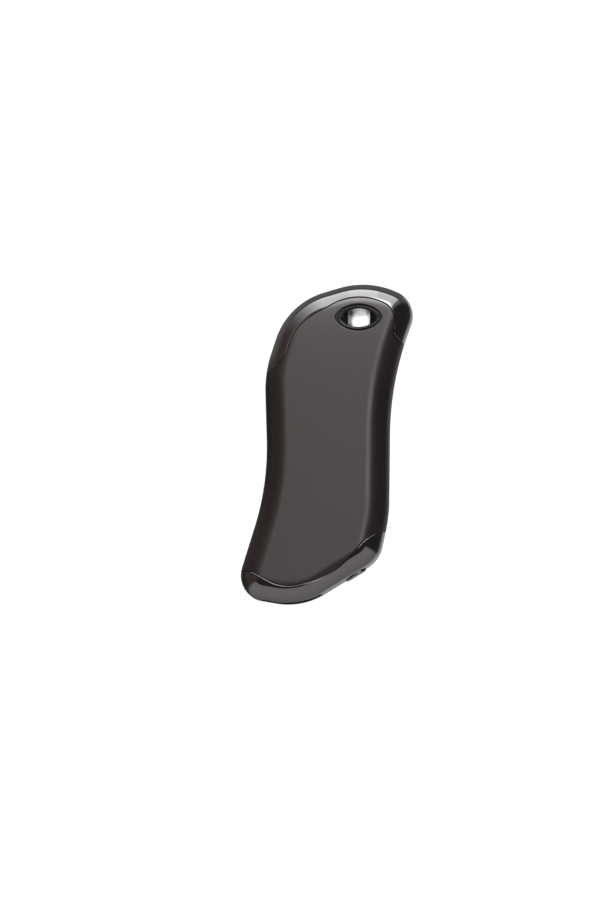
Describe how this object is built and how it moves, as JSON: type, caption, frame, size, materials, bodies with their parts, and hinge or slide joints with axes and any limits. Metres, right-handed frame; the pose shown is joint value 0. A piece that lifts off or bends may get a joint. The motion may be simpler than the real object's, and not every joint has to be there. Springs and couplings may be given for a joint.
{
  "type": "rechargeable hand warmer",
  "caption": "Pocket hand warmer with an S-shaped satin body, glossy end caps, an oval lanyard eyelet, charging ports and a sprung power button.",
  "frame": {"origin": "middle of the flat back that the body lies on, at the centre of its outline's box", "axes": "+X to the right and +Y to the top of the front face, with the eyelet at the top right; +Z out of the front face"},
  "size_m": [0.0645, 0.1197, 0.026],
  "materials": {
    "shell_matte": "satin",
    "cap_gloss": "high gloss",
    "button_gloss": "gloss",
    "guide_clear": "clear",
    "socket_steel": "tinned",
    "socket_white": "satin",
    "socket_black": "satin",
    "contact_gold": "plated",
    "frame_grey": "matte",
    "cell_sleeve": "shrunk sleeve",
    "nickel": "plain",
    "fish_paper": "matte",
    "board_green": "solder mask",
    "chip_black": "moulded",
    "ferrite": "matte",
    "ceramic": "satin",
    "led_resin": "satin",
    "screw_steel": "zinc plated",
    "film_amber": "satin",
    "foam": "open cell",
    "lead_red": "silicone",
    "lead_black": "silicone",
    "lead_white": "silicone"
  },
  "bodies": {
    "housing": {"front_shell": "shell_matte", "back_shell": "shell_matte", "top_cap": "cap_gloss", "bottom_cap": "cap_gloss", "lanyard_eyelet": "cap_gloss", "light_guide": "guide_clear", "usb_a_shell": "socket_steel", "usb_a_tongue": "socket_white", "usb_a_contacts": "contact_gold", "micro_usb_shell": "socket_steel", "micro_usb_tongue": "socket_black", "inner_frame": "frame_grey", "battery_cell_left": "cell_sleeve", "battery_cell_right": "cell_sleeve", "positive_strip": "nickel", "negative_strip": "nickel", "positive_insulator": "fish_paper", "negative_insulator": "fish_paper", "main_board": "board_green", "controller_chips": "chip_black", "power_inductor": "ferrite", "board_capacitors": "ceramic", "status_leds": "led_resin", "switch_body": "socket_black", "case_screws": "screw_steel", "heater_film_front": "film_amber", "heater_film_back": "film_amber", "heater_track_front": "nickel", "heater_track_back": "nickel", "foam_pad_front": "foam", "foam_pad_back": "foam", "thermistor_front": "chip_black", "thermistor_back": "chip_black", "cell_lead_positive": "lead_red", "cell_lead_negative": "lead_black", "heater_leads_front": "lead_white", "heater_leads_back": "lead_white"},
    "power_button": {"power_button": "button_gloss"},
    "switch_plunger": {"switch_plunger": "socket_white"}
  },
  "joints": [
    {"name": "power_button_press", "type": "slide", "parent": "housing", "child": "power_button", "axis": [-0.5211, 0.8535, 0], "range_m": [0, 0.0004], "stiffness_N_per_m": 2000},
    {"name": "switch_plunger_press", "type": "slide", "parent": "housing", "child": "switch_plunger", "axis": [-0.5211, 0.8535, 0], "range_m": [0, 0.0004]}
  ],
  "couplings": [
    {"joint": "switch_plunger_press", "follows": "power_button_press", "ratio": 1}
  ]
}
